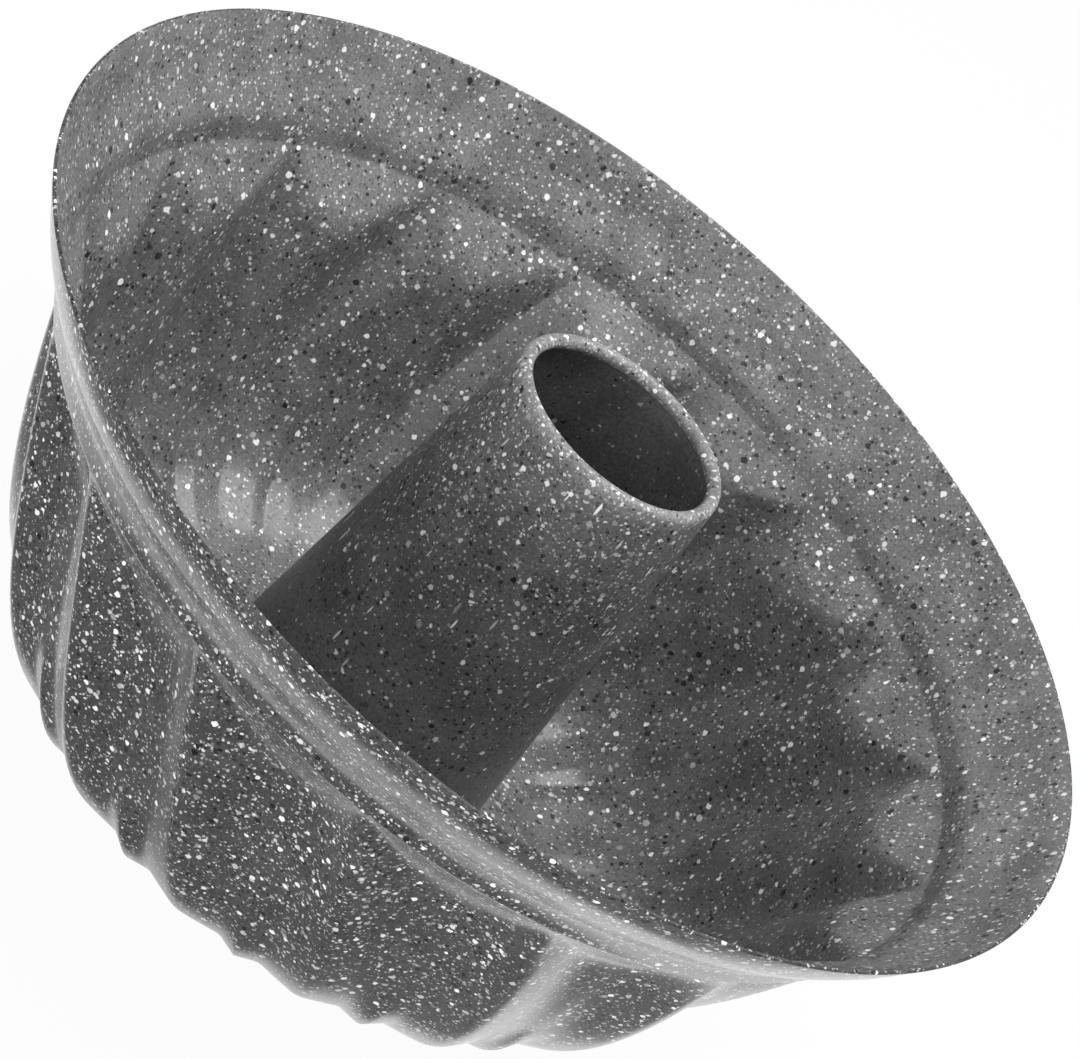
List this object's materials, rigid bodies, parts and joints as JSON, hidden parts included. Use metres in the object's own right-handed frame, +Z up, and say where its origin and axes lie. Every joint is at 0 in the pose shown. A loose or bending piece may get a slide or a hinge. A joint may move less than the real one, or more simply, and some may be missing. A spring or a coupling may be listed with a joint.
{
  "type": "baking pan",
  "caption": "Ring-cake pan with swirled flutes, a flared rim and a tapered hollow centre tube, in grey speckled non-stick coated sheet steel.",
  "frame": {"origin": "on the pan's axis, at the level of the flat ring that the pan stands on", "axes": "+Z up along the centre tube, out of the open top; -Y through the head of a flute ridge"},
  "size_m": [0.2498, 0.25, 0.111],
  "materials": {
    "body_coating": "grey stone-look non-stick coating with white and black flecks, satin",
    "tube_coating": "grey stone-look non-stick coating with sparser flecks, satin"
  },
  "bodies": {
    "root": {"fluted_body": "body_coating", "center_tube": "tube_coating"}
  },
  "joints": []
}
